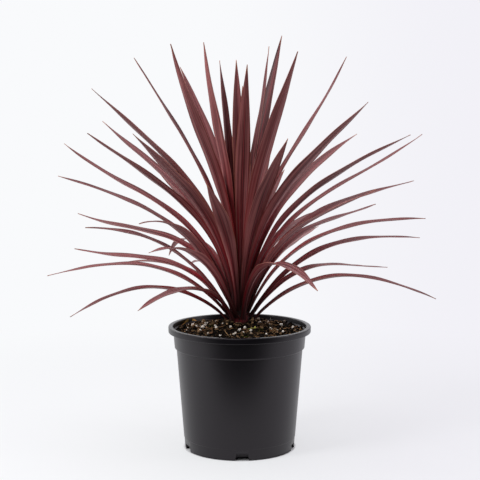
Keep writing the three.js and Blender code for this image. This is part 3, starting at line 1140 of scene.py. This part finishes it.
def makeSheaths(rows, seats, shader):
    # The clasping feet of the lower leaves, which hide the stem down to the soil
    form, layers = bladeForm()
    for row, seat in zip(rows, seats):
        if seat > sheath["highest"]:
            continue
        turn, full = math.radians(row[0]), row[5]
        shift = dice.uniform(0, 20)
        own = dice.uniform(*sheath["tones"])
        for vert in addGrid(form, sheath):
            share, across = (vert.co.x + 1) / 2, vert.co.y
            height = blendOf(soil["crown"] - sheath["buried"], seat + sheath["above"], share)
            radius = stemRadius(height) + blendOf(sheath["footOut"], sheath["topOut"], share)
            radius -= sheath["curl"] * abs(across) ** 3
            half = blendOf(sheath["footHalf"], full * blade["baseShare"] / 2, share)
            facing = math.copysign(math.pi / 2, math.sin(turn))      # the back or the front
            slant = sheath["slant"] * (1 - share) * angleTo(turn, facing)
            angle = turn + slant + across * half / radius
            vert.co = Vector((radius * math.cos(angle), radius * math.sin(angle), height))
            for layer, value in zip(layers, (own, 0, shift)):
                vert[layer] = value
    for layer in form.loops.layers.uv.values():
        for face in form.faces:
            for loop in face.loops:
                loop[layer].uv.x *= sheath["uvShare"]
    thicken(addPiece("leaf_sheaths", form, [shader]), sheath["thick"])


def makeLeaves():
    shaders = [
        leafShader("leafTop", skin["top"], skin["glossTop"]),
        leafShader("leafUnder", skin["under"], skin["glossUnder"]),
    ]
    named = []
    for spray, rows in leaves.items():
        named += [(f"leaf_{spray}_{index + 1}", row) for index, row in enumerate(rows)]
    rows = [row for name, row in named]
    seats = seatHeights(rows)
    for (name, row), seat in zip(named, seats):
        makeBlade(name, row, seat, shaders)
    makeSheaths(rows, seats, shaders[0])


makeLeaves()
print("leaves made")

# The studio
studio = {
    "left": colour(249, 250, 252),
    "right": colour(242, 241, 247),
    "slope": 0.2,
    "paper": colour(214, 214, 216),
    "glowShare": 0.68,         # how much of the floor's shade is even, as under light from all round
    "floorFront": -0.28,       # the table ends here, in front of the view
    "floorSide": 2.4,
    "floorBack": 2.4,
    "shadeFrom": 0.0848,       # it is dark under the pot, and evenly lit from between these distances
    "shadeTo": 0.0885,
    "fadeFrom": 0.45,          # the floor turns into the backdrop between these distances
    "fadeTo": 1.1,
    "level": 0.72,             # how bright the surroundings are, as the plant sees them
    "frontDark": 0.98,
    "rightDark": 0.35,
    "leftMore": 0.14,
    "topMore": 0.4,
    "backMore": 0.8,
    "lights": [                # name, place, size, watts
        ("keyLeft", (-1.4, -0.9, 1.5), (0.6, 0.75), 23),
        ("fillRight", (1.7, -0.3, 0.9), (0.8, 1.2), 7),
        ("top", (0.0, 0.1, 2.0), (1.6, 1.2), 10),
        ("front", (-0.5, -1.7, 1.25), (1.0, 0.6), 5),
    ],
    "lightAim": (0, 0, 0.3),
}


def backdropShade(shader, x):
    # The backdrop is a little darker on the right; x is the sideways slope of the line of sight
    return shader.mix(x.rising(-0.04, studio["slope"]), studio["left"], studio["right"])


def makeFloor():
    form = bmesh.new()
    bmesh.ops.create_grid(form, x_segments=2, y_segments=2, size=1)
    for vert in form.verts:
        vert.co.x *= studio["floorSide"]
        vert.co.y = blendOf(studio["floorFront"], studio["floorBack"], (vert.co.y + 1) / 2)
    mesh = meshOf("floor", form)
    shader = Shader("floorPaper")
    x, y = shader.parts(shader.place())[:2]
    distance = (x * x + y * y).math("SQRT")
    shader.set(Base_Color=studio["paper"], Roughness=0.8)
    shade = backdropShade(shader, x / (y - camera["place"][1]))
    glow = shader.node("Emission", {}, {"Color": shade, "Strength": 1.0})
    even = distance.rising(studio["shadeFrom"], studio["shadeTo"]) * studio["glowShare"]
    far = distance.rising(studio["fadeFrom"], studio["fadeTo"]) * (1 - studio["glowShare"]) + even
    lit = Wire(shader, shader.surface.outputs[0])
    both = shader.node("MixShader", {}, {0: far, 1: lit, 2: glow})
    shader.feed(shader.tree.nodes["Material Output"].inputs["Surface"], both)
    mesh.materials.append(shader.owner)
    floor = addObject("floor", mesh)


def makeWorld():
    # The lens sees an even backdrop; the plant is lit by pale sides, back and top and a dark front
    world = Shader("studio", world=True)
    x, y, z = world.parts(world.node("TexCoord", {}, {}, "Generated"))
    front = (y * -1).rising(0.15, 0.85)
    rightSide = x.rising(0.0, 0.9)
    strength = (1 - front * studio["frontDark"]) * (1 - rightSide * studio["rightDark"]) * studio["level"]
    strength = strength + (x * -1).rising(0.3, 0.9) * (1 - front) * studio["leftMore"]
    strength = strength + z.rising(0.45, 0.95) * studio["topMore"]
    low = z.rising(0.06, 0.22) * (1 - z.rising(0.4, 0.6))
    strength = strength + y.rising(0.3, 0.8) * low * studio["backMore"]
    seen = world.node("LightPath", {}, {}, "Is Camera Ray")
    level = seen + (1 - seen) * strength
    background = world.tree.nodes["Background"]
    world.feed(background.inputs["Color"], backdropShade(world, x))
    world.feed(background.inputs["Strength"], level)
    bpy.context.scene.world = world.owner


def addLight(name, place, size, power):
    data = bpy.data.lights.new(name, "AREA")
    data.shape = "RECTANGLE"
    data.size, data.size_y = size
    data.energy = power
    lamp = addObject(name, data)
    lamp.location = place
    away = Vector(place) - Vector(studio["lightAim"])
    lamp.rotation_euler = away.to_track_quat("Z", "Y").to_euler()
    lamp.visible_camera = False


makeFloor()
makeWorld()
for light in studio["lights"]:
    addLight(*light)
bpy.context.scene.view_settings.view_transform = "Standard"
print("studio lit")
